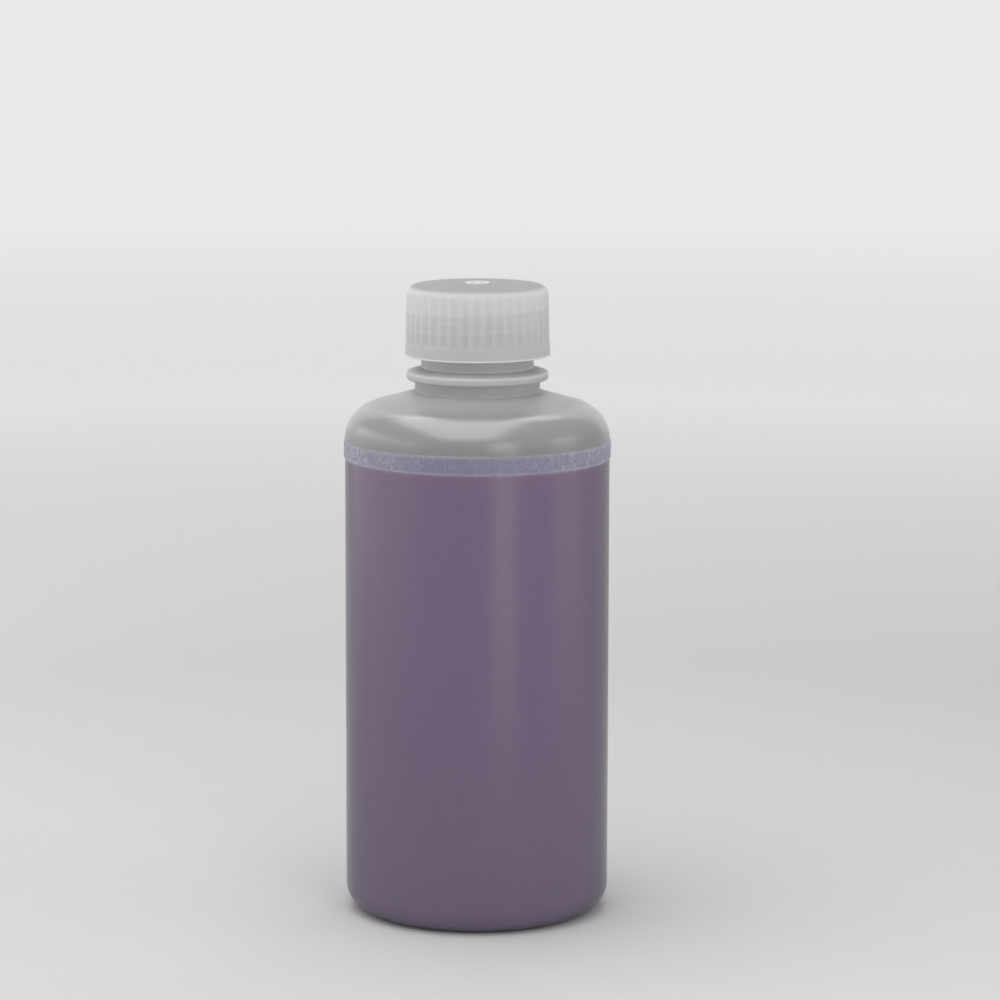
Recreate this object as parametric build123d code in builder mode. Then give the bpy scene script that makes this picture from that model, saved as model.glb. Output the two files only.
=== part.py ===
from build123d import *
from math import pi, radians, sin, sqrt, tan
import os

# Round media bottle: a blow-moulded body with a raised belt and a threaded neck, a sealing liner,
# a fluted screw closure and the liquid inside.
# All sizes are in millimetres. The origin is on the standing plane, on the bottle's axis, and +Z is up.

# ---------------------------------------------------------------- driving dimensions

# Body of the bottle, a round blow-moulded wall with a pushed-up base
body_diameter = 81.4
body_height = 141.5
body_wall = 1.4
base_wall = 1.6
base_edge_radius = 8.0
standing_ring_width = 4.0
push_up_height = 2.4

# Raised belt under the shoulder
belt_height = 6.0
belt_relief = 0.4

# Shoulder: an arc that turns in from the wall, then a shallow cone up to the neck
shoulder_radius = 11.25
shoulder_turn = 74.0

# Neck finish: collar, support bead and threaded neck
collar_diameter = 38.4
collar_height = 3.5
collar_wall = 1.8
bead_reach = 2.6
bead_slope_height = 0.2
bead_land_height = 2.35
bead_crown_height = 1.2
bead_edge_radius = 0.7
neck_root_radius = 0.4
neck_diameter = 34.6
neck_height = 22.65
bore_diameter = 30.0
lip_edge_radius = 0.5

# Single-start right-hand thread, six turns to the inch
thread_pitch = 25.4 / 6
thread_turns = 1.5
thread_fade_turns = 0.16
thread_height = 1.4
thread_root_width = 2.3
thread_crest_width = 1.1
thread_sink = 0.4
thread_lead_in = 2.4
thread_start_angle = 60.0
thread_sections_per_turn = 16

# Running clearances between the closure and the neck
radial_clearance = 0.3
flank_clearance = 0.3

# Sealing liner
liner_thickness = 1.2
liner_edge_clearance = 0.7

# Closure
closure_wall = 3.05
closure_top_thickness = 1.55
closure_rim_gap = 3.75
closure_draft = 0.2
closure_edge_radius = 3.2
closure_dome_height = 0.5
closure_bore_fillet = 0.6
skirt_band_height = 3.9
skirt_band_step = 0.1
skirt_band_flare = 0.15
rim_edge_radius = 0.35
closure_thread_root_width = 1.5
closure_thread_crest_width = 0.7

# Grip flutes round the closure
flute_count = 40
flute_width = 2.7
flute_depth = 0.4

# Gate mark in the middle of the closure's top
gate_diameter = 7.3
gate_rim_width = 0.7
gate_rim_height = 0.3
gate_nub_diameter = 1.7
gate_nub_height = 0.15

# Liquid
fill_below_belt_top = 0.7
fill_film = 0.05

# ---------------------------------------------------------------- derived sizes

body_radius = body_diameter / 2
collar_radius = collar_diameter / 2
bead_radius = collar_radius + bead_reach
neck_radius = neck_diameter / 2
bore_radius = bore_diameter / 2

# Height of each level above the standing plane
belt_top = body_height + belt_height
shoulder_lean = radians(90 - shoulder_turn)
shoulder_arc_end = body_radius - shoulder_radius * (1 - sin(shoulder_lean))
neck_foot = (
    belt_top
    + shoulder_radius * sin(radians(shoulder_turn))
    + (shoulder_arc_end - collar_radius) * tan(shoulder_lean)
)
bead_foot = neck_foot + collar_height
bead_land_foot = bead_foot + bead_slope_height
bead_land_top = bead_land_foot + bead_land_height
bead_top = bead_land_top + bead_crown_height
lip_level = bead_top + neck_height

# Base
standing_radius = body_radius - base_edge_radius - standing_ring_width
dome_radius = (standing_radius**2 + push_up_height**2) / (2 * push_up_height)

# Thread
thread_low = lip_level - thread_lead_in - thread_turns * thread_pitch
thread_crest_radius = neck_radius + thread_height
closure_bore_radius = thread_crest_radius + radial_clearance
closure_thread_crest_radius = neck_radius + radial_clearance
closure_thread_drop = (thread_root_width + closure_thread_crest_width) / 2 + flank_clearance

# Closure
closure_ceiling = lip_level + liner_thickness
closure_edge_level = closure_ceiling + closure_top_thickness
closure_rim_level = bead_top + closure_rim_gap
band_top = closure_rim_level + skirt_band_height
grip_radius = closure_bore_radius + closure_wall
closure_top_radius = grip_radius - closure_draft
closure_crown_radius = closure_top_radius - closure_edge_radius
closure_dome_radius = (closure_crown_radius**2 + closure_dome_height**2) / (2 * closure_dome_height)
band_radius = grip_radius + skirt_band_step
rim_radius = band_radius + skirt_band_flare
liner_radius = closure_bore_radius - liner_edge_clearance
flute_cutter_radius = (flute_width**2 / 4 + flute_depth**2) / (2 * flute_depth)

# Liquid
fill_level = belt_top - fill_below_belt_top


# ---------------------------------------------------------------- shared shapes

def corner_at(section, radius, height):
    """Corner of a half section at a radius and a height."""
    return section.vertices().sort_by_distance((radius, height))[0]


def cavity_face(inset, level):
    """Half section of the space inside the bottle, set in from the wall and filled up to a level."""
    side = body_radius - body_wall - inset
    floor = base_wall + inset
    corner = base_edge_radius - body_wall - inset
    arc = shoulder_radius - body_wall - inset
    collar_side = collar_radius - collar_wall - inset
    with BuildSketch(Plane.XZ, mode=Mode.PRIVATE) as section:
        with BuildLine():
            dome = RadiusArc((0, floor + push_up_height), (standing_radius, floor), dome_radius)
            flat = Line(dome @ 1, (side - corner, floor))
            heel = JernArc(flat @ 1, (1, 0), corner, 90)
            wall = Line(heel @ 1, (side, belt_top))
            shoulder = JernArc(wall @ 1, (0, 1), arc, shoulder_turn)
            arc_end = shoulder @ 1
            cone = Line(arc_end, (collar_side, arc_end.Y + (arc_end.X - collar_side) * tan(shoulder_lean)))
            Polyline(
                cone @ 1,
                (collar_side, bead_foot),
                (bore_radius - inset, bead_land_top),
                (bore_radius - inset, lip_level),
                (0, lip_level),
                dome @ 0,
            )
        make_face()
        with Locations((body_radius / 2, level / 2)):
            Rectangle(body_radius, level, mode=Mode.INTERSECT)
    return section.sketch


def thread_sections(root_radius, buried_radius, crest_radius, root_width, crest_width, low):
    """Radial sections of a helical ridge that climbs one pitch a turn and sinks away at both ends."""
    sections = []
    steps = round(thread_turns * thread_sections_per_turn)
    for step in range(steps + 1):
        turn = thread_turns * step / steps
        run_out = min(1, turn / thread_fade_turns, (thread_turns - turn) / thread_fade_turns)
        tip = buried_radius + (crest_radius - buried_radius) * sin(run_out * pi / 2) ** 2
        angle = thread_start_angle + 360 * turn
        outwards = Vector(1, 0, 0).rotate(Axis.Z, angle)
        across = Vector(0, -1, 0).rotate(Axis.Z, angle)
        radial_plane = Plane((0, 0, low + thread_pitch * turn), x_dir=outwards, z_dir=across)
        with BuildSketch(radial_plane, mode=Mode.PRIVATE) as section:
            with BuildLine():
                Polyline(
                    (root_radius, -root_width / 2),
                    (tip, -crest_width / 2),
                    (tip, crest_width / 2),
                    (root_radius, root_width / 2),
                    close=True,
                )
            make_face()
        sections.append(section.sketch.face())
    return sections


# ---------------------------------------------------------------- bottle

with BuildPart() as bottle:
    with BuildSketch(Plane.XZ) as bottle_section:
        with BuildLine():
            dome = RadiusArc((0, push_up_height), (standing_radius, 0), dome_radius)
            standing_ring = Line(dome @ 1, (body_radius - base_edge_radius, 0))
            heel = JernArc(standing_ring @ 1, (1, 0), base_edge_radius, 90)
            Polyline(
                heel @ 1,
                (body_radius, body_height),
                (body_radius + belt_relief, body_height + belt_relief),
                (body_radius + belt_relief, belt_top - belt_relief),
                (body_radius, belt_top),
            )
            shoulder = JernArc((body_radius, belt_top), (0, 1), shoulder_radius, shoulder_turn)
            Polyline(
                shoulder @ 1,
                (collar_radius, neck_foot),
                (collar_radius, bead_foot),
                (bead_radius, bead_land_foot),
                (bead_radius, bead_land_top),
                (neck_radius, bead_top),
                (neck_radius, lip_level),
                (0, lip_level),
                dome @ 0,
            )
        make_face()
        fillet(corner_at(bottle_section, collar_radius, neck_foot), neck_root_radius)
        fillet(corner_at(bottle_section, bead_radius, bead_land_foot), bead_edge_radius)
        fillet(corner_at(bottle_section, bead_radius, bead_land_top), bead_edge_radius)
        fillet(corner_at(bottle_section, neck_radius, bead_top), neck_root_radius)
        fillet(corner_at(bottle_section, neck_radius, lip_level), lip_edge_radius)
    revolve(axis=Axis.Z)
    add(cavity_face(0, lip_level))
    revolve(axis=Axis.Z, mode=Mode.SUBTRACT)
    loft(
        thread_sections(
            neck_radius - thread_sink,
            neck_radius - thread_sink / 2,
            thread_crest_radius,
            thread_root_width,
            thread_crest_width,
            thread_low,
        )
    )
bottle.part.label = "bottle"


# ---------------------------------------------------------------- liner

with BuildPart() as liner:
    with BuildSketch(Plane.XY.offset(lip_level)):
        Circle(liner_radius)
    extrude(amount=liner_thickness)
liner.part.label = "liner"


# ---------------------------------------------------------------- closure

with BuildPart() as closure:
    with BuildSketch(Plane.XZ) as closure_section:
        with BuildLine():
            rim = Polyline(
                (closure_bore_radius, closure_rim_level),
                (rim_radius, closure_rim_level),
                (band_radius, band_top),
                (grip_radius, band_top + skirt_band_step),
                (closure_top_radius, closure_edge_level - closure_edge_radius),
            )
            shoulder_edge = RadiusArc(
                rim @ 1,
                (closure_crown_radius, closure_edge_level),
                -closure_edge_radius,
            )
            crown = RadiusArc(
                shoulder_edge @ 1,
                (0, closure_edge_level + closure_dome_height),
                -closure_dome_radius,
            )
            Polyline(
                crown @ 1,
                (0, closure_ceiling),
                (closure_bore_radius, closure_ceiling),
                (closure_bore_radius, closure_rim_level),
            )
        make_face()
        fillet(corner_at(closure_section, rim_radius, closure_rim_level), rim_edge_radius)
        fillet(corner_at(closure_section, closure_bore_radius, closure_ceiling), closure_bore_fillet)
    revolve(axis=Axis.Z)

    # Gate mark: a raised ring with a small nub in its middle
    with BuildSketch(Plane.XY.offset(closure_edge_level)):
        Circle(gate_diameter / 2)
        Circle(gate_diameter / 2 - gate_rim_width, mode=Mode.SUBTRACT)
    extrude(amount=closure_dome_height + gate_rim_height)
    with BuildSketch(Plane.XY.offset(closure_edge_level)):
        Circle(gate_nub_diameter / 2)
    extrude(amount=closure_dome_height + gate_nub_height)

    # Grip flutes: round-bottomed grooves with round lower ends, which run out into the top edge
    flute_axis_radius = grip_radius - flute_depth + flute_cutter_radius
    flute_reach = sqrt(flute_cutter_radius**2 - (flute_cutter_radius - flute_depth) ** 2)
    flute_foot = band_top + flute_reach
    with Locations((0, 0, flute_foot)):
        with PolarLocations(flute_axis_radius, flute_count):
            Cylinder(
                flute_cutter_radius,
                closure_edge_level + closure_dome_height - flute_foot,
                align=(Align.CENTER, Align.CENTER, Align.MIN),
                mode=Mode.SUBTRACT,
            )
            Sphere(flute_cutter_radius, mode=Mode.SUBTRACT)

    # Internal thread, which bears on the underside of the neck's thread
    loft(
        thread_sections(
            closure_bore_radius + thread_sink,
            closure_bore_radius + thread_sink / 2,
            closure_thread_crest_radius,
            closure_thread_root_width,
            closure_thread_crest_width,
            thread_low - closure_thread_drop,
        )
    )
closure.part.label = "closure"


# ---------------------------------------------------------------- liquid

with BuildPart() as medium:
    add(cavity_face(fill_film, fill_level))
    revolve(axis=Axis.Z)
medium.part.label = "medium"


# ---------------------------------------------------------------- export

os.makedirs("parts", exist_ok=True)
export_step(bottle.part, "parts/bottle.step")
export_step(liner.part, "parts/liner.step")
export_step(closure.part, "parts/closure.step")
export_step(medium.part, "parts/medium.step")
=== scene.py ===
# %% [markdown]
# # A round media bottle
# This lesson dresses a bottle of natural polypropylene, its screw closure and the purple medium inside.
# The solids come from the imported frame. The frame keeps their size and place, so every new piece is
# modelled around the same axis, in metres, with its place in its own mesh.

# %% Load the frame
import bpy
from math import asin, atan2, cos, degrees, hypot, pi, radians, sin, sqrt, tan
from mathutils import Euler, Matrix, Vector, noise


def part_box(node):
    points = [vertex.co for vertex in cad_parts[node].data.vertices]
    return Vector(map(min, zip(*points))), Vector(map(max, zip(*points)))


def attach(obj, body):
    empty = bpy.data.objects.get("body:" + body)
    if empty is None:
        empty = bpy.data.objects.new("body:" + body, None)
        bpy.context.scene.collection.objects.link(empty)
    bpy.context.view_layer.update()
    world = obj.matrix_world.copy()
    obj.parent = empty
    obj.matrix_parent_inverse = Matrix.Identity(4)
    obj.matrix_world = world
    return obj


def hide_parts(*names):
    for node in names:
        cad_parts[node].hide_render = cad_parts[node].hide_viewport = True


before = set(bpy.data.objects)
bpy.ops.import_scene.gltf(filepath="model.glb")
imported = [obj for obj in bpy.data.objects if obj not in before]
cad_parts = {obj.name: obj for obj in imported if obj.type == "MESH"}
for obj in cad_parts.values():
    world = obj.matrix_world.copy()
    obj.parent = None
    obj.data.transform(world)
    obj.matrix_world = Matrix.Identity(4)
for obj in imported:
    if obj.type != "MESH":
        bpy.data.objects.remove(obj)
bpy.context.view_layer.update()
print("frame loaded:", sorted(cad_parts))

# %% [markdown]
# ## Sizes
# A blow-moulded bottle is drawn as a half section. Its sizes are the ones of the solids, in metres.
# The frame gives the main ones: the bottle's widest circle is its belt, and its top is the neck's lip.

# %% Sizes of the pieces
MM = 0.001
_, bottle_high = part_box("bottle")
closure_low, closure_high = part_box("closure")
_, liner_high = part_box("liner")
_, medium_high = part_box("medium")

belt_relief = 0.4 * MM
belt_radius = bottle_high.x
body_radius = belt_radius - belt_relief
body_wall = 1.4 * MM
base_wall = 1.6 * MM
base_edge_radius = 8.0 * MM
standing_ring_width = 4.0 * MM
push_up_height = 2.4 * MM
belt_foot = 141.5 * MM
belt_height = 6.0 * MM
belt_top = belt_foot + belt_height
shoulder_radius = 11.25 * MM
shoulder_turn = radians(74)

lip_level = bottle_high.z
collar_radius = 19.2 * MM
collar_wall = 1.8 * MM
collar_height = 3.5 * MM
bead_radius = 21.8 * MM
bead_slope_height = 0.2 * MM
bead_land_height = 2.35 * MM
bead_crown_height = 1.2 * MM
bead_edge_radius = 0.7 * MM
neck_height = 22.65 * MM
neck_radius = 17.3 * MM
bore_radius = 15.0 * MM
lip_edge_radius = 0.5 * MM
bead_top = lip_level - neck_height
bead_land_top = bead_top - bead_crown_height
bead_land_foot = bead_land_top - bead_land_height
bead_foot = bead_land_foot - bead_slope_height
neck_foot = bead_foot - collar_height

thread_pitch = 25.4 / 6 * MM
thread_turns = 1.5
thread_start = radians(60)
thread_fade_turns = 0.16
thread_height = 1.4 * MM
thread_sink = 0.4 * MM
thread_root_width = 2.3 * MM
thread_crest_width = 1.1 * MM
thread_below_lip = 2.4 * MM
thread_low = lip_level - thread_below_lip - thread_turns * thread_pitch

fit_clearance = 0.3 * MM
closure_wall = 3.05 * MM
closure_draft = 0.2 * MM
closure_edge_radius = 3.2 * MM
closure_top_thickness = 1.55 * MM
closure_dome_height = 0.5 * MM
closure_bore_radius = neck_radius + thread_height + fit_clearance
grip_radius = closure_bore_radius + closure_wall
closure_top_radius = grip_radius - closure_draft
closure_ceiling = liner_high.z
closure_edge_level = closure_ceiling + closure_top_thickness
rim_level = closure_low.z
rim_radius = closure_high.x
band_height = 3.9 * MM
band_step = 0.1 * MM
band_top = rim_level + band_height
band_radius = grip_radius + band_step
flute_count = 40
flute_depth = 0.4 * MM
fill_level = medium_high.z
print("lip at", round(lip_level / MM, 2), "mm, rim at", round(rim_level / MM, 2), "mm")

# %% [markdown]
# ## Two helpers for turned pieces
# Most of this object is turned about one axis. By hand it would be drawn as a chain of points beside the
# axis and spun. `arc_points` works out the round stretches of such a chain from a centre and two angles,
# so that no chain holds more points than its shape needs.

# %% Points of a half section
def arc_points(centre, radius, start, end, steps):
    """Points from one angle to another round a centre, both ends included. Angles are in degrees."""
    turns = [radians(start + (end - start) * step / steps) for step in range(steps + 1)]
    return [(centre[0] + radius * cos(turn), centre[1] + radius * sin(turn)) for turn in turns]


def climb(radius, low, high, steps):
    """Evenly spaced points up a straight wall."""
    return [(radius, low + (high - low) * step / steps) for step in range(steps + 1)]


# %% [markdown]
# `turned_piece` starts from a small plane merged to one point, extrudes that point along the section,
# and spins the chain once round. The seam and the poles are merged, and the normals are made to point
# out of the plastic. A lathe by extruded rings would do as well, but the spin needs one operator.

# %% Spin a half section
merge_distance = 0.002 * MM
smooth_angle = radians(32)


def start_editing(piece):
    bpy.ops.object.select_all(action="DESELECT")
    piece.select_set(True)
    bpy.context.view_layer.objects.active = piece
    bpy.ops.object.mode_set(mode="EDIT")


def turned_piece(name, section, segments):
    """A closed skin of revolution from (radius, height) points."""
    bpy.ops.object.select_all(action="DESELECT")
    bpy.ops.mesh.primitive_plane_add(size=MM, location=(section[0][0], 0, section[0][1]))
    piece = bpy.context.active_object
    piece.name = name
    bpy.ops.object.transform_apply(location=True)
    start_editing(piece)
    bpy.ops.mesh.merge(type="CENTER")
    for (radius, height), (next_radius, next_height) in zip(section, section[1:]):
        step = (next_radius - radius, 0, next_height - height)
        bpy.ops.mesh.extrude_vertices_move(TRANSFORM_OT_translate={"value": step})
    bpy.ops.mesh.select_all(action="SELECT")
    bpy.ops.mesh.spin(steps=segments, angle=2 * pi, center=(0, 0, 0), axis=(0, 0, 1))
    bpy.ops.mesh.select_all(action="SELECT")
    bpy.ops.mesh.remove_doubles(threshold=merge_distance)
    bpy.ops.mesh.normals_make_consistent(inside=False)
    bpy.ops.object.mode_set(mode="OBJECT")
    bpy.ops.object.shade_smooth_by_angle(angle=smooth_angle)
    print(name, "has", len(piece.data.polygons), "faces")
    return piece


# %% [markdown]
# ## The bottle
# A parison of polypropylene is blown against a cold mould, which gives a thin, even wall, a rounded base
# edge and a pushed-up base that stands on a ring. The neck is moulded to size, with a support bead.
# The section goes up the outside and comes down the inside, so that the wall has its true thickness.

# %% Half section of the bottle
belt_rings = 6
standing_radius = body_radius - base_edge_radius - standing_ring_width
dome_radius = (standing_radius**2 + push_up_height**2) / (2 * push_up_height)
dome_half_angle = degrees(asin(standing_radius / dome_radius))
dome_steps = 8
edge_steps = 14
wall_steps = 8
inner_wall_steps = 6
shoulder_steps = 20
bead_steps = 5
neck_steps = 6
lip_steps = 4
bottle_segments = 256


def push_up(floor):
    """The pushed-up middle of the base, from the axis out to the standing ring."""
    centre = (0, floor + push_up_height - dome_radius)
    return arc_points(centre, dome_radius, 90, 90 - dome_half_angle, dome_steps)


def base_edge(inset):
    """Rounded base edge, set in by a wall."""
    centre = (body_radius - base_edge_radius, base_edge_radius)
    return arc_points(centre, base_edge_radius - inset, -90, 0, edge_steps)


def shoulder(inset):
    """Round shoulder up to where the cone starts, set in by a wall."""
    centre = (body_radius - shoulder_radius, belt_top)
    return arc_points(centre, shoulder_radius - inset, 0, degrees(shoulder_turn), shoulder_steps)


def outside_of_bottle():
    belt_low, belt_high = belt_foot + belt_relief, belt_top - belt_relief
    slope = degrees(atan2(bead_crown_height, bead_radius - neck_radius))
    lean = degrees(atan2(bead_radius - collar_radius, bead_slope_height))
    edge = bead_edge_radius
    lip_edge = (neck_radius - lip_edge_radius, lip_level - lip_edge_radius)
    low_edge = (bead_radius - edge, bead_land_foot + edge * tan(radians(lean) / 2))
    high_edge = (bead_radius - edge, bead_land_top - edge * tan(radians(90 - slope) / 2))
    section = push_up(0) + base_edge(0)
    section += climb(body_radius, base_edge_radius, belt_foot, wall_steps)[1:]
    section += climb(belt_radius, belt_low, belt_high, belt_rings)
    section += shoulder(0)
    section += [(collar_radius, neck_foot), (collar_radius, bead_foot)]
    section += arc_points(low_edge, edge, -lean, 0, bead_steps)
    section += arc_points(high_edge, edge, 0, 90 - slope, bead_steps)
    section += climb(neck_radius, bead_top, lip_edge[1], neck_steps)
    section += arc_points(lip_edge, lip_edge_radius, 0, 90, lip_steps)[1:]
    return section


def inside_of_bottle():
    arc_end = shoulder(body_wall)[-1]
    collar_inside = collar_radius - collar_wall
    cone_end = arc_end[1] + (arc_end[0] - collar_inside) * tan(pi / 2 - shoulder_turn)
    section = push_up(base_wall) + [(x, z + base_wall - body_wall) for x, z in base_edge(body_wall)]
    section += climb(body_radius - body_wall, base_edge_radius, belt_top, inner_wall_steps)[1:-1]
    section += shoulder(body_wall)
    section += [(collar_inside, cone_end), (collar_inside, bead_foot), (bore_radius, bead_land_top)]
    section += [(bore_radius, lip_level)]
    return section


bottle = turned_piece("bottle_shell", outside_of_bottle() + inside_of_bottle()[::-1], bottle_segments)


# %% [markdown]
# ## The belt's grain
# The belt is etched in the mould: it comes out as fine, raised creases, like leather. A bump map would look
# right from the front only, so the grain is real. Only the belt needs so many points, so only its faces are
# subdivided. Each point then sinks by how far it lies from the nearest border between two cells of a warped
# cell pattern, which leaves the borders standing as creases. The cells are taller than they are wide, and
# the creases come and go, so that they read as wrinkles and not as a net.

# %% Press the grain into the belt
grain_depth = 0.15 * MM
grain_cell = 1.1 * MM
grain_stretch = 1.5
grain_warp = 0.85
warp_scale = 0.8
crease_width = 0.27
crease_mean = 0.75
crease_swing = 0.9
crease_least = 0.4
swing_scale = 0.7
belt_cuts = 5
belt_edge = 0.3 * MM


def sink(piece, name, weights, depth):
    """Push points in along their normals, by a depth times each point's weight."""
    group = piece.vertex_groups.new(name=name)
    for index, weight in weights.items():
        group.add([index], weight, "REPLACE")
    push = piece.modifiers.new(name, "DISPLACE")
    push.vertex_group = name
    push.strength = -depth
    push.mid_level = 0
    bpy.ops.object.select_all(action="DESELECT")
    bpy.context.view_layer.objects.active = piece
    bpy.ops.object.modifier_apply(modifier=name)
    print(name, "moved", len(weights), "points of", piece.name)


def on_belt(point):
    level = belt_foot + belt_edge < point.z < belt_top - belt_edge
    return level and hypot(point.x, point.y) > belt_radius - belt_edge


def between_creases(point):
    """0 on a crease of the grain, 1 well between the creases."""
    place = point / grain_cell
    place.z /= grain_stretch
    warped = place + grain_warp * noise.noise_vector(place * warp_scale)
    nearest = noise.voronoi(warped)[0]
    border = max(0.0, 1 - (nearest[1] - nearest[0]) / crease_width)
    strength = crease_mean + crease_swing * noise.noise(place * swing_scale)
    return 1 - border * min(1.0, max(crease_least, strength))


start_editing(bottle)
bpy.ops.mesh.select_all(action="DESELECT")
bpy.ops.object.mode_set(mode="OBJECT")
for edge in bottle.data.edges:
    start, end = (bottle.data.vertices[index].co for index in edge.vertices)
    edge.select = on_belt(start) and abs(start.z - end.z) < 0.01 * MM
bpy.ops.object.mode_set(mode="EDIT")
bpy.ops.mesh.select_mode(type="EDGE")
bpy.ops.mesh.subdivide(number_cuts=belt_cuts)
bpy.ops.mesh.select_mode(type="VERT")
bpy.ops.object.mode_set(mode="OBJECT")
belt_points = [point for point in bottle.data.vertices if on_belt(point.co)]
sink(bottle, "belt_grain", {point.index: between_creases(point.co) for point in belt_points}, grain_depth)

# %% [markdown]
# ## The threads
# A moulded thread is a ridge with sloping flanks that dies away at both ends. The section is drawn once as
# a small face and extruded step by step, each step turned a little about the axis and lifted by its share
# of the pitch. Near the ends the whole section is scaled towards its wall, so that the ridge sinks out of
# sight. A Screw modifier would be shorter, but it leaves blunt ends.

# %% Helical ridges
thread_steps = 96
ridge_fade = 1.6 * MM


def helical_ridge(name, root_radius, tip_radius, root_width, crest_width, low):
    """A ridge that climbs one pitch a turn, from the thread's start angle."""
    bpy.ops.object.select_all(action="DESELECT")
    bpy.ops.mesh.primitive_plane_add(size=1, rotation=(pi / 2, 0, 0))
    piece = bpy.context.active_object
    piece.name = name
    piece.scale = (abs(tip_radius - root_radius), root_width, 1)
    piece.location = ((tip_radius + root_radius) / 2, 0, low)
    bpy.ops.object.transform_apply(location=True, rotation=True, scale=True)
    tip_side = [abs(corner.co.x - tip_radius) < 0.01 * MM for corner in piece.data.vertices]
    start_editing(piece)
    bpy.ops.mesh.select_all(action="DESELECT")
    bpy.ops.object.mode_set(mode="OBJECT")
    for corner, at_tip in zip(piece.data.vertices, tip_side):
        corner.select = at_tip
    bpy.ops.object.mode_set(mode="EDIT")
    squeeze = crest_width / root_width
    bpy.ops.transform.resize(value=(1, 1, squeeze), center_override=(tip_radius, 0, low))
    bpy.ops.mesh.select_all(action="SELECT")
    sinking = ridge_fade * (1 if root_radius > tip_radius else -1)
    turn_by = 2 * pi * thread_turns / thread_steps
    rise = thread_pitch * thread_turns / thread_steps
    scale_now = 1.0
    for step in range(thread_steps + 1):
        turned = thread_turns * step / thread_steps
        run_out = min(1, turned / thread_fade_turns, (thread_turns - turned) / thread_fade_turns)
        scale_wanted = 1 + sinking / root_radius * cos(run_out * pi / 2) ** 2
        height = low + rise * step
        if step:
            bpy.ops.mesh.extrude_region_move(TRANSFORM_OT_translate={"value": (0, 0, rise)})
            bpy.ops.transform.rotate(value=-turn_by, orient_axis="Z", center_override=(0, 0, height))
        change = scale_wanted / scale_now
        bpy.ops.transform.resize(value=(change, change, 1), center_override=(0, 0, height))
        scale_now = scale_wanted
    bpy.ops.mesh.select_all(action="SELECT")
    bpy.ops.transform.rotate(value=-thread_start, orient_axis="Z", center_override=(0, 0, 0))
    bpy.ops.mesh.normals_make_consistent(inside=False)
    bpy.ops.object.mode_set(mode="OBJECT")
    print(name, "has", len(piece.data.polygons), "faces")
    return piece


def grow_together(piece, extra):
    """Unite a piece with an extra form of the same plastic."""
    union = piece.modifiers.new("union", "BOOLEAN")
    union.operation = "UNION"
    union.solver = "MANIFOLD"
    union.object = extra
    bpy.ops.object.select_all(action="DESELECT")
    bpy.context.view_layer.objects.active = piece
    bpy.ops.object.modifier_apply(modifier="union")
    bpy.data.objects.remove(extra)
    piece.select_set(True)
    bpy.ops.object.shade_smooth_by_angle(angle=smooth_angle)
    print(piece.name, "now has", len(piece.data.polygons), "faces")


neck_thread = helical_ridge(
    "neck_thread",
    neck_radius - thread_sink,
    neck_radius + thread_height,
    thread_root_width,
    thread_crest_width,
    thread_low,
)
grow_together(bottle, neck_thread)

# %% [markdown]
# The finish has to know where the creases are. The union above makes a new mesh, so the painted highlight of
# each point, strong on the crests and weak down in the grain, gets stored only now: it is read back from how
# far the point lies under the belt's face.

# %% Mark the painted highlight on the creases
# The crests get the most painted highlight and the sunk grain the least.
crest_highlight_level = 0.9
hollow_highlight_level = 0.25
crease = bottle.data.attributes.new("crease", "FLOAT", "POINT")
for point in bottle.data.vertices:
    if on_belt(point.co):
        sunk = (belt_radius - hypot(point.co.x, point.co.y)) / grain_depth
        crease.data[point.index].value = crest_highlight_level + (hollow_highlight_level - crest_highlight_level) * sunk
print("creases marked on", bottle.name)

# %% [markdown]
# ## The closure
# The closure is injection moulded upside down through a gate in the middle of its top, which leaves a small
# ring with a nub. The top is slightly domed and its edge well rounded. The section is spun like the
# bottle's, with twenty points to each flute, so that the flutes can be pressed in afterwards.

# %% Turn the closure
crown_radius = closure_top_radius - closure_edge_radius
closure_dome_radius = (crown_radius**2 + closure_dome_height**2) / (2 * closure_dome_height)
dome_top = closure_edge_level + closure_dome_height
gate_ring = (2.95 * MM, 3.65 * MM)
gate_rim_top = dome_top + 0.3 * MM
gate_nub_radius = 0.85 * MM
gate_nub_top = dome_top + 0.15 * MM
rim_edge = 0.35 * MM
bore_edge = 0.6 * MM
bore_lead = 1 * MM
soft = 0.12 * MM
scallop_height = 3 * MM
grip_steps = 14
crown_steps = 12
bore_steps = 8
flute_points = 20


def on_dome(radius):
    """Point of the domed top at a radius."""
    return (radius, dome_top - closure_dome_radius + sqrt(closure_dome_radius**2 - radius**2))


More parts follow.
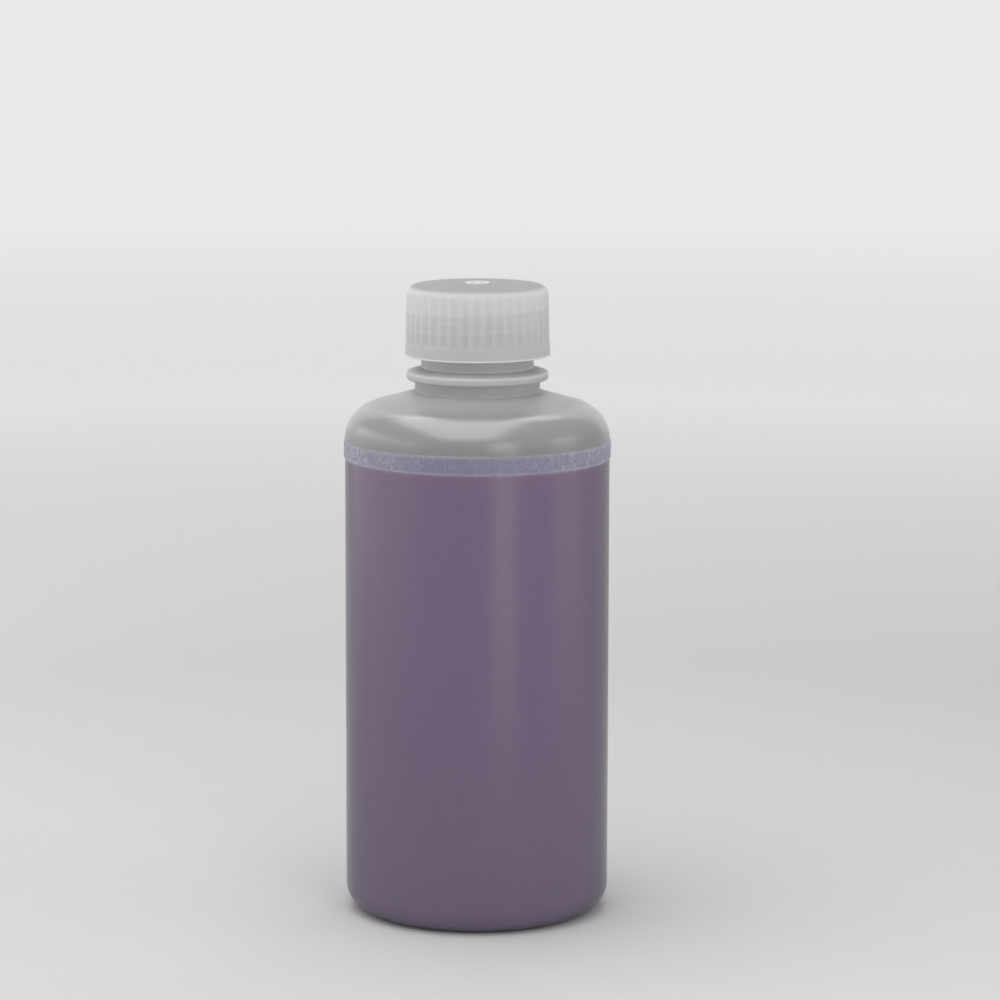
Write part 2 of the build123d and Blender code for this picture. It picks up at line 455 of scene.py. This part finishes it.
def closure_section():
    corner = (crown_radius, closure_edge_level - closure_edge_radius)
    foot = band_top + band_step
    shares = [step / grip_steps for step in range(1, grip_steps + 1)]
    grip = [corner[1] + (foot + scallop_height - corner[1]) * share for share in shares]
    grip += [foot + scallop_height * (1 - share) for share in shares]
    slant = (grip_radius - closure_top_radius) / (corner[1] - foot)
    section = [(0, gate_nub_top), (gate_nub_radius - soft, gate_nub_top)]
    section += [(gate_nub_radius, gate_nub_top - soft), on_dome(gate_nub_radius), on_dome(gate_ring[0])]
    section += [(gate_ring[0], gate_rim_top - soft), (gate_ring[0] + soft, gate_rim_top)]
    section += [(gate_ring[1] - soft, gate_rim_top), (gate_ring[1], gate_rim_top - soft)]
    flat = crown_radius - gate_ring[1]
    section += [on_dome(gate_ring[1] + flat * step / crown_steps) for step in range(crown_steps)]
    section += arc_points(corner, closure_edge_radius, 90, 0, crown_steps)
    section += [(closure_top_radius + slant * (corner[1] - height), height) for height in grip]
    section += [(band_radius, band_top)]
    flare = rim_radius - band_radius
    section += [(band_radius + flare * share, band_top - band_height * share) for share in (0.3, 0.6, 0.85)]
    section += arc_points((rim_radius - rim_edge, rim_level + rim_edge), rim_edge, 0, -90, lip_steps)
    section += [(closure_bore_radius + bore_edge, rim_level), (closure_bore_radius, rim_level + bore_edge)]
    ceiling_edge = (closure_bore_radius - bore_edge, closure_ceiling - bore_edge)
    section += climb(closure_bore_radius, rim_level + bore_lead, ceiling_edge[1], bore_steps)
    section += arc_points(ceiling_edge, bore_edge, 0, 90, lip_steps)[1:]
    return section + [(0, closure_ceiling)]


closure = turned_piece("closure_shell", closure_section(), flute_count * flute_points)

# %% [markdown]
# The forty grip flutes are round-bottomed grooves. Each ends below in a half circle, which gives the
# scalloped edge above the smooth skirt, and runs out above where the top edge turns in. How deep each point
# has to sink is worked out from its distance to the middle of its flute, and one Displace modifier does
# the rest. Forty boolean cutters would give harder edges than a mould with polished flutes does.

# %% Press in the grip flutes
flute_half_width = 1.5 * MM
flute_floor_radius = grip_radius - flute_depth
flute_end = band_top + flute_half_width
flute_hollow = 1.3
band_skin = 0.05 * MM


def flute_share(point):
    """How much of the flute's depth a point of the closure sinks by."""
    radius = hypot(point.x, point.y)
    if radius < flute_floor_radius or point.z < band_top + band_skin:
        return 0.0
    flutes = flute_count * atan2(point.y, point.x) / (2 * pi)
    beside = (flutes - round(flutes)) * 2 * pi * radius / flute_count
    below = max(0.0, flute_end - point.z)
    away = hypot(beside, below) / flute_half_width
    if away >= 1:
        return 0.0
    return min(1.0, (radius - flute_floor_radius) / flute_depth) * cos(away * pi / 2) ** flute_hollow


in_flutes = {point.index: flute_share(point.co) for point in closure.data.vertices}
sink(closure, "grip_flutes", {index: share for index, share in in_flutes.items() if share > 0}, flute_depth)
inner_root_width = 1.5 * MM
inner_crest_width = 0.7 * MM
inner_below = 1.8 * MM
closure_thread = helical_ridge(
    "closure_thread",
    closure_bore_radius + thread_sink,
    neck_radius + fit_clearance,
    inner_root_width,
    inner_crest_width,
    thread_low - inner_below,
)
grow_together(closure, closure_thread)

# %% [markdown]
# ## The medium
# The liquid fills the bottle up to just under the belt's top edge. It is turned from the bottle's inside,
# set in by a film so thin that it can't be seen, and its edge climbs the wall in a small meniscus.

# %% Fill the bottle
film = 0.05 * MM
meniscus = 0.7 * MM
fill_steps = 12
curl_steps = 6


def medium_section():
    side = body_radius - body_wall - film
    drop = base_wall + film
    section = push_up(drop)
    section += [(x - film, z + drop - body_wall) for x, z in base_edge(body_wall)]
    section += climb(side, base_edge_radius, fill_level, fill_steps)[1:]
    curl = arc_points((side - meniscus, fill_level), meniscus, 0, -90, curl_steps)[1:]
    return section + curl + [(0, fill_level - meniscus)]


medium = turned_piece("medium_fill", medium_section(), bottle_segments)

# %% [markdown]
# ## Finishes
# Natural polypropylene is milky and satin. Three things make it here: a plain alpha lets part of what is
# behind show through, a grey-white colour stands for the light that the plastic scatters, and a mid
# roughness spreads the lamps. All the finishes share one node group for faint mottling, with its own values
# in each.

# %% Node helpers
def node(tree, kind, **settings):
    made = tree.nodes.new(kind)
    for name, value in settings.items():
        setattr(made, name, value)
    return made


def plug(tree, source, target):
    tree.links.new(source, target)


def ramp(tree, source, low, high, stops):
    """Colours along a length: stops are (place, (red, green, blue)) with places between low and high."""
    scale = node(tree, "ShaderNodeMapRange")
    scale.inputs["From Min"].default_value = low
    scale.inputs["From Max"].default_value = high
    plug(tree, source, scale.inputs["Value"])
    colours = node(tree, "ShaderNodeValToRGB")
    elements = colours.color_ramp.elements
    while len(elements) < len(stops):
        elements.new(0.5)
    for element, (place, colour) in zip(elements, stops):
        element.position = (place - low) / (high - low)
        element.color = (*colour, 1)
    plug(tree, scale.outputs["Result"], colours.inputs["Fac"])
    return colours.outputs["Color"]


def level_stops(stops):
    """Grey stops from (place, level) pairs."""
    return [(place, (level,) * 3) for place, level in stops]


def blend(tree, kind, share, first, second):
    """Mix two colours, or multiply the first by the second."""
    mix = node(tree, "ShaderNodeMix", data_type="RGBA", blend_type=kind)
    if hasattr(share, "is_output"):
        plug(tree, share, mix.inputs["Factor"])
    else:
        mix.inputs["Factor"].default_value = share
    for socket, value in ((mix.inputs["A"], first), (mix.inputs["B"], second)):
        if hasattr(value, "is_output"):
            plug(tree, value, socket)
        else:
            socket.default_value = (*value, 1)
    return mix.outputs["Result"]


def sum_up(tree, kind, first, second):
    made = node(tree, "ShaderNodeMath", operation=kind)
    for socket, value in zip(made.inputs, (first, second)):
        if hasattr(value, "is_output"):
            plug(tree, value, socket)
        else:
            socket.default_value = value
    return made.outputs["Value"]


def finish(name):
    made = bpy.data.materials.new(name)
    made.use_nodes = True
    place = node(made.node_tree, "ShaderNodeTexCoord").outputs["Object"]
    return made, made.node_tree, made.node_tree.nodes["Principled BSDF"], place


# %% One group for the mould's mottling
mottle = bpy.data.node_groups.new("mould_mottle", "ShaderNodeTree")
for socket, way, kind in (
    ("Place", "INPUT", "NodeSocketVector"),
    ("Scale", "INPUT", "NodeSocketFloat"),
    ("Lightest", "INPUT", "NodeSocketFloat"),
    ("Darkest", "INPUT", "NodeSocketFloat"),
    ("Tone", "OUTPUT", "NodeSocketColor"),
    ("Height", "OUTPUT", "NodeSocketFloat"),
):
    mottle.interface.new_socket(socket, in_out=way, socket_type=kind)
entry = node(mottle, "NodeGroupInput")
leave = node(mottle, "NodeGroupOutput")
cloud = node(mottle, "ShaderNodeTexNoise")
cloud.inputs["Detail"].default_value = 4
tone = node(mottle, "ShaderNodeMapRange")
plug(mottle, entry.outputs["Place"], cloud.inputs["Vector"])
plug(mottle, entry.outputs["Scale"], cloud.inputs["Scale"])
plug(mottle, cloud.outputs["Fac"], tone.inputs["Value"])
plug(mottle, entry.outputs["Darkest"], tone.inputs["To Min"])
plug(mottle, entry.outputs["Lightest"], tone.inputs["To Max"])
plug(mottle, tone.outputs["Result"], leave.inputs["Tone"])
plug(mottle, cloud.outputs["Fac"], leave.inputs["Height"])


def mottled(tree, place, scale, darkest, lightest):
    group = node(tree, "ShaderNodeGroup", node_tree=mottle)
    plug(tree, place, group.inputs["Place"])
    group.inputs["Scale"].default_value = scale
    group.inputs["Darkest"].default_value = darkest
    group.inputs["Lightest"].default_value = lightest
    return group


def bump(tree, height, strength, distance, shader):
    made = node(tree, "ShaderNodeBump")
    made.inputs["Strength"].default_value = strength
    made.inputs["Distance"].default_value = distance
    plug(tree, height, made.inputs["Height"])
    plug(tree, made.outputs["Normal"], shader.inputs["Normal"])


# %% [markdown]
# ### Bottle wall
# Below the belt the satin wall takes on the purple of what fills it, a little redder just under the belt.
# The belt itself is paler, with a painted highlight line along each of its edges. Above it the wall is a
# milky grey that grows lighter up the cone, at the neck and most of all on the bead, partly because the
# plastic is thicker there and partly as painted light that lifts the closure's shade; painted highlight lines
# run round the collar's foot and the bead's top edge.

# %% Colour of the wall by height
bottle_finish, tree, shader, place = finish("natural_polypropylene")
height = node(tree, "ShaderNodeSeparateXYZ")
plug(tree, place, height.inputs["Vector"])
up = height.outputs["Z"]
body_purple = [
    (0, (0.180, 0.140, 0.217)),
    (60 * MM, (0.190, 0.143, 0.232)),
    (belt_foot - 6 * MM, (0.206, 0.155, 0.248)),
    (belt_foot - 1 * MM, (0.226, 0.153, 0.247)),
]
# The light lines on the belt's two edges are painted highlights.
belt_lilac_edge_highlights = [
    (belt_foot, (0.250, 0.180, 0.275)),
    (belt_foot + 0.2 * MM, (0.330, 0.320, 0.420)),
    (belt_foot + 0.4 * MM, (0.330, 0.320, 0.420)),
    (belt_foot + 0.7 * MM, (0.232, 0.200, 0.310)),
    (fill_level - 0.3 * MM, (0.250, 0.230, 0.330)),
    (belt_top - 0.5 * MM, (0.335, 0.330, 0.365)),
    (belt_top - 0.3 * MM, (0.430, 0.430, 0.450)),
]
# Painted light: the grey is raised up the cone, at the neck and on the bead's crown to lift the closure's
# shade, partly also for the thicker plastic; the light lines at the collar's foot and the bead's top edge are
# painted highlights.
milky_grey_painted_light = level_stops([
    (belt_top, 0.322),
    (neck_foot - 4 * MM, 0.385),
    (neck_foot - 2 * MM, 0.51),
    (neck_foot - 0.3 * MM, 0.55),
    (neck_foot, 0.63),
    (neck_foot + 0.25 * MM, 0.63),
    (neck_foot + 0.5 * MM, 0.48),
    (bead_foot, 0.49),
    (bead_land_foot, 0.53),
    (bead_land_top - 0.5 * MM, 0.58),
    (bead_land_top - 0.4 * MM, 0.76),
    (bead_land_top - 0.2 * MM, 0.76),
    (bead_land_top, 0.62),
    (bead_land_top + 0.3 * MM, 0.68),
    (bead_top, 0.66),
    (bead_top + 0.5 * MM, 0.50),
    (lip_level, 0.52),
])
wall_colour = ramp(tree, up, 0, lip_level, body_purple + belt_lilac_edge_highlights + milky_grey_painted_light)
print("the wall's colour has", len(body_purple + belt_lilac_edge_highlights + milky_grey_painted_light), "stops")

# %% [markdown]
# Seen edge-on, the eye looks along the wall instead of through it. There it hides more, and below the belt
# it turns deeper and greyer. The creases get a painted highlight that makes them whiter than the rest,
# faintest where the belt faces the eye and strongest at its sides.

# %% What changes edge-on
edge_on = node(tree, "ShaderNodeLayerWeight")
edge_on.inputs["Blend"].default_value = 0.35
facing = edge_on.outputs["Facing"]
thick = ramp(tree, facing, 0, 1, level_stops([(0, 0), (0.45, 0.05), (1, 1)]))
deep = ramp(tree, facing, 0, 1, level_stops([(0.3, 1), (0.46, 0.86)]) + [(0.71, (0.55, 0.60, 0.51))])
# Painted sheen: the creases' painted highlight is faint where the belt faces the eye and strong at its sides.
side_sheen = ramp(tree, facing, 0, 1, level_stops([(0, 0.22), (0.06, 0.30), (0.16, 0.60), (0.3, 0.75)]))
below_belt = ramp(tree, up, 0, lip_level, level_stops([(belt_foot - 0.1 * MM, 1), (belt_foot, 0)]))
deepened = blend(tree, "MIX", below_belt, (1, 1, 1), deep)
creases = node(tree, "ShaderNodeAttribute", attribute_name="crease").outputs["Fac"]
crease_sheen = blend(tree, "MULTIPLY", 1.0, creases, side_sheen)

# %% Colour and see-through of the wall
# Painted highlight colour that the creases are mixed towards; the same mask also makes them less see-through.
crease_highlight_colour = (0.58, 0.57, 0.66)
skin = mottled(tree, place, 260, 0.96, 1.04)
tinted = blend(tree, "MULTIPLY", 1.0, wall_colour, deepened)
plain = blend(tree, "MULTIPLY", 1.0, tinted, skin.outputs["Tone"])
plug(tree, blend(tree, "MIX", crease_sheen, plain, crease_highlight_colour), shader.inputs["Base Color"])
wall_alpha = ramp(tree, up, 0, lip_level, level_stops([
    (0, 0.86),
    (fill_level - 0.3 * MM, 0.86),
    (belt_top, 0.80),
    (neck_foot, 0.88),
    (bead_foot, 0.92),
]))
see_through = blend(tree, "MIX", thick, wall_alpha, (0.98,) * 3)
plug(tree, blend(tree, "MIX", crease_sheen, see_through, (0.95,) * 3), shader.inputs["Alpha"])

# %% [markdown]
# A hollow shoulder has two glossy faces, the outside and the inside, and both catch the box overhead. A coat
# stands for the second one. It fades out below, so that the side boxes don't show in it, and at the neck.

# %% Gloss of the wall
two_faces = ramp(tree, up, 0, lip_level, level_stops([
    (0, 0),
    (belt_top, 0),
    (belt_top + 2 * MM, 0.2),
    (belt_top + 4.5 * MM, 0.9),
    (belt_top + 6 * MM, 1),
    (neck_foot - 4.5 * MM, 1),
    (neck_foot - 3 * MM, 0.15),
    (neck_foot, 0),
]))
satin = ramp(tree, up, 0, lip_level, level_stops([(0, 0.22), (belt_top, 0.25), (neck_foot, 0.42)]))
plug(tree, two_faces, shader.inputs["Coat Weight"])
plug(tree, satin, shader.inputs["Roughness"])
shader.inputs["Coat Roughness"].default_value = 0.25
shader.inputs["Coat IOR"].default_value = 2.3
shader.inputs["IOR"].default_value = 1.49
shader.inputs["Specular IOR Level"].default_value = 0.32
bump(tree, skin.outputs["Height"], 0.05, 0.2 * MM, shader)
bottle.data.materials.clear()
bottle.data.materials.append(bottle_finish)

# %% [markdown]
# ### Closure
# The closure is a thick milky moulding. Its flat top is painted greyer as painted shade, and a light line
# round its rim is a painted highlight. Its thread shows through as faint bands that climb with the thread:
# the plastic is thicker at a ridge. The bands are worked out from the height less the climb of the thread,
# with the seam behind, where they fade.

# %% Milky polypropylene by height, with painted shade on the top and a painted highlight at the rim
closure_finish, tree, shader, place = finish("milky_polypropylene")
axes = node(tree, "ShaderNodeSeparateXYZ")
plug(tree, place, axes.inputs["Vector"])
# Painted light: the light line at the rim is a painted highlight and the grey of the flat top is painted
# shade.
closure_tone_painted_light = ramp(tree, axes.outputs["Z"], rim_level, gate_rim_top, level_stops([
    (rim_level, 0.90),
    (rim_level + 0.35 * MM, 0.90),
    (rim_level + 0.7 * MM, 0.64),
    (closure_edge_level - closure_edge_radius, 0.715),
    (closure_edge_level - 1.2 * MM, 0.70),
    (closure_edge_level - 0.15 * MM, 0.385),
]))

# %% The thread showing through
thread_tones = (
    (178.3, 0.89),
    (181.4, 0.87),
    (182.0, 0.935),
    (182.9, 0.90),
    (184.4, 0.90),
    (184.9, 0.94),
    (185.8, 0.91),
    (186.9, 0.91),
    (187.5, 1.0),
)
backwards = sum_up(tree, "MULTIPLY", axes.outputs["Y"], -1)
round_the_front = sum_up(tree, "ARCTAN2", axes.outputs["X"], backwards)
climb_so_far = sum_up(tree, "MULTIPLY", round_the_front, thread_pitch / (2 * pi))
unwound = sum_up(tree, "SUBTRACT", axes.outputs["Z"], climb_so_far)
thread_bands = ramp(tree, unwound, 178 * MM, 189 * MM, level_stops([(h * MM, t) for h, t in thread_tones]))
fade_behind = sum_up(tree, "ABSOLUTE", round_the_front, 0)
fade = ramp(tree, fade_behind, 0, pi, level_stops([(0, 1), (1.9, 1), (2.9, 0)]))
tones = blend(tree, "MIX", fade, (1, 1, 1), thread_bands)
banded = blend(tree, "MULTIPLY", 1.0, closure_tone_painted_light, tones)

# %% The gate's ring and nub
gate_white = (0.86, 0.86, 0.86)
gate_fade = 0.15 * MM
flat_place = node(tree, "ShaderNodeVectorMath", operation="MULTIPLY")
flat_place.inputs[1].default_value = (1, 1, 0)
plug(tree, place, flat_place.inputs[0])
from_axis = node(tree, "ShaderNodeVectorMath", operation="LENGTH")
plug(tree, flat_place.outputs["Vector"], from_axis.inputs[0])
gate_mark = ramp(tree, from_axis.outputs["Value"], 0, 5 * MM, level_stops([
    (0, 1),
    (gate_nub_radius, 0.9),
    (gate_nub_radius + 0.2 * MM, 0),
    (gate_ring[0] - gate_fade, 0),
    (gate_ring[0], 1),
    (gate_ring[1], 1),
    (gate_ring[1] + gate_fade, 0),
]))
marked = blend(tree, "MIX", gate_mark, banded, gate_white)
skin = mottled(tree, place, 420, 0.975, 1.025)
plug(tree, blend(tree, "MULTIPLY", 1.0, marked, skin.outputs["Tone"]), shader.inputs["Base Color"])
shader.inputs["Roughness"].default_value = 0.45
shader.inputs["Specular IOR Level"].default_value = 0.1
shader.inputs["Subsurface Weight"].default_value = 0.8
shader.inputs["Subsurface Radius"].default_value = (1, 1, 1)
shader.inputs["Subsurface Scale"].default_value = 2.5 * MM
shader.inputs["IOR"].default_value = 1.49
bump(tree, skin.outputs["Height"], 0.08, 0.2 * MM, shader)
closure.data.materials.clear()
closure.data.materials.append(closure_finish)

# %% [markdown]
# ### Medium and liner
# The medium is dense enough to hide what is behind it, so it is opaque and takes its depth from colour. It
# is a little redder and deeper at the top. The liner is a plain foam disc, hidden under the closure.

# %% Purple medium, foam liner
medium_finish, tree, shader, place = finish("purple_medium")
height = node(tree, "ShaderNodeSeparateXYZ")
plug(tree, place, height.inputs["Vector"])
purple = ramp(tree, height.outputs["Z"], 0, fill_level, [
    (0, (0.10, 0.05, 0.16)),
    (60 * MM, (0.115, 0.05, 0.19)),
    (130 * MM, (0.135, 0.055, 0.21)),
    (138 * MM, (0.17, 0.045, 0.19)),
    (141 * MM, (0.16, 0.05, 0.18)),
    (fill_level, (0.15, 0.11, 0.27)),
])
cloudy = mottled(tree, place, 30, 0.96, 1.04)
plug(tree, blend(tree, "MULTIPLY", 1.0, purple, cloudy.outputs["Tone"]), shader.inputs["Base Color"])
shader.inputs["Roughness"].default_value = 0.5
shader.inputs["IOR"].default_value = 1.33
medium.data.materials.clear()
medium.data.materials.append(medium_finish)

foam, tree, shader, place = finish("liner_foam")
pores = mottled(tree, place, 900, 0.76, 0.86)
plug(tree, pores.outputs["Tone"], shader.inputs["Base Color"])
shader.inputs["Roughness"].default_value = 0.8
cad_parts["liner"].data.materials.clear()
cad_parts["liner"].data.materials.append(foam)

# %% [markdown]
# ## What moves with what
# The bottle and its medium are one body. The closure turns on the liner's slide, so it rises as it turns.

# %% Tie the pieces to their bodies
for piece, body, cad_node, slot in (
    (bottle, "vessel", "bottle", "bottle_wall"),
    (medium, "vessel", "medium", "medium_liquid"),
    (closure, "cap_turner", "closure", "closure_plastic"),
):
    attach(piece, body)
    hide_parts(cad_node)

# %% [markdown]
# ## Stage
# A pale sweep: a floor that curves up into a backdrop far behind, so that no edge shows from the front.

# %% Floor and backdrop
paper_width = 8
bend_steps = 9
bend_chord = 0.26
backdrop_height = 4
bpy.ops.object.select_all(action="DESELECT")
bpy.ops.mesh.primitive_plane_add(size=paper_width)
sweep = bpy.context.active_object
sweep.name = "sweep"
start_editing(sweep)
bpy.ops.mesh.select_all(action="DESELECT")
bpy.ops.object.mode_set(mode="OBJECT")
for corner in sweep.data.vertices:
    corner.select = corner.co.y > 0
bpy.ops.object.mode_set(mode="EDIT")
for turn in range(1, bend_steps + 1):
    lift = radians(90 * turn / bend_steps)
    chord = (0, bend_chord * cos(lift), bend_chord * sin(lift))
    bpy.ops.mesh.extrude_region_move(TRANSFORM_OT_translate={"value": chord})
bpy.ops.mesh.extrude_region_move(TRANSFORM_OT_translate={"value": (0, 0, backdrop_height)})
bpy.ops.object.mode_set(mode="OBJECT")
bpy.ops.object.shade_smooth()

# %% [markdown]
# The paper is pale by its colour. The lamps stand close to the bottle and hardly reach the far end of the
# sweep, so there the paper glows a little for the rays that see it: straight from the camera, and in gloss
# and clear plastic. It sheds no light on the bottle.

# %% Pale paper
paper, tree, shader, place = finish("pale_paper")
plug(tree, mottled(tree, place, 60, 0.73, 0.745).outputs["Tone"], shader.inputs["Base Color"])
distance = node(tree, "ShaderNodeVectorMath", operation="LENGTH")
plug(tree, place, distance.inputs[0])
glow_stops = level_stops([(0, 0), (0.4, 0), (1.2, 0.36), (2.5, 0.50), (5, 0.52)])
far_glow = ramp(tree, distance.outputs["Value"], 0, 5, glow_stops)
rays = node(tree, "ShaderNodeLightPath")
seen = sum_up(tree, "MAXIMUM", rays.outputs["Is Camera Ray"], rays.outputs["Is Glossy Ray"])
seen = sum_up(tree, "MAXIMUM", seen, rays.outputs["Is Transmission Ray"])
plug(tree, blend(tree, "MULTIPLY", 1.0, far_glow, seen), shader.inputs["Emission Color"])
shader.inputs["Emission Strength"].default_value = 1
shader.inputs["Roughness"].default_value = 0.9
sweep.data.materials.append(paper)

# %% [markdown]
# ## Light
# Soft boxes stand round the bottle, as in a small product studio. An upright wall seen from a little above
# mirrors what is low down, so the side boxes reach to the floor and stay low. Their edges show as soft
# upright bands on the satin wall, and the box overhead as a patch on the shoulder.

# %% Soft boxes and fill
soft_boxes = (
    ("left_box", (-0.55, 0.03, 0.20), (1, 0, 0), (1.00, 0.38), 0.85),
    ("right_strip", (0.161, -0.388, 0.18), (-0.38, 0.92, 0), (0.14, 0.35), 2.0),
    ("right_box", (0.49, -0.087, 0.19), (-1, 0.17, 0), (0.25, 0.36), 0.93),
    ("top_box", (-0.135, -0.18, 0.87), (0, 0, -1), (0.77, 1.3), 1.2),
    ("back_box", (0.0, 0.62, 0.95), (0, -0.6, -0.8), (0.9, 0.25), 1.5),
)
for name, where, facing, (wide, tall), glow in soft_boxes:
    lamp = bpy.data.lights.new(name, "AREA")
    lamp.shape = "RECTANGLE"
    lamp.size, lamp.size_y = wide, tall
    lamp.energy = glow * pi * wide * tall
    box = bpy.data.objects.new(name, lamp)
    box.location = where
    box.rotation_euler = Vector(facing).to_track_quat("-Z", "Y").to_euler()
    box.visible_camera = False
    bpy.context.scene.collection.objects.link(box)
    print(name, "gives", round(lamp.energy, 2), "W")

fill_grey = 0.44
world = bpy.data.worlds.new("studio")
world.use_nodes = True
world.node_tree.nodes["Background"].inputs["Color"].default_value = (fill_grey, fill_grey, fill_grey, 1)
bpy.context.scene.world = world

# %% [markdown]
# ## Camera
# A long lens from a little above, so that the sides stay upright and the top of the closure just shows.

# %% Camera
lens_length = 144
look_down = radians(8.905)
roll = radians(0.12)
camera_data = bpy.data.cameras.new("view_camera")
camera_data.lens = lens_length
camera = bpy.data.objects.new("view_camera", camera_data)
camera.location = (0.007, -1.2185, 0.319)
tilt = Euler((pi / 2 - look_down, 0, 0)).to_matrix()
camera.rotation_euler = (tilt @ Matrix.Rotation(roll, 3, "Z")).to_euler()
bpy.context.scene.collection.objects.link(camera)
bpy.context.scene.camera = camera
bpy.context.scene.view_settings.view_transform = "Standard"
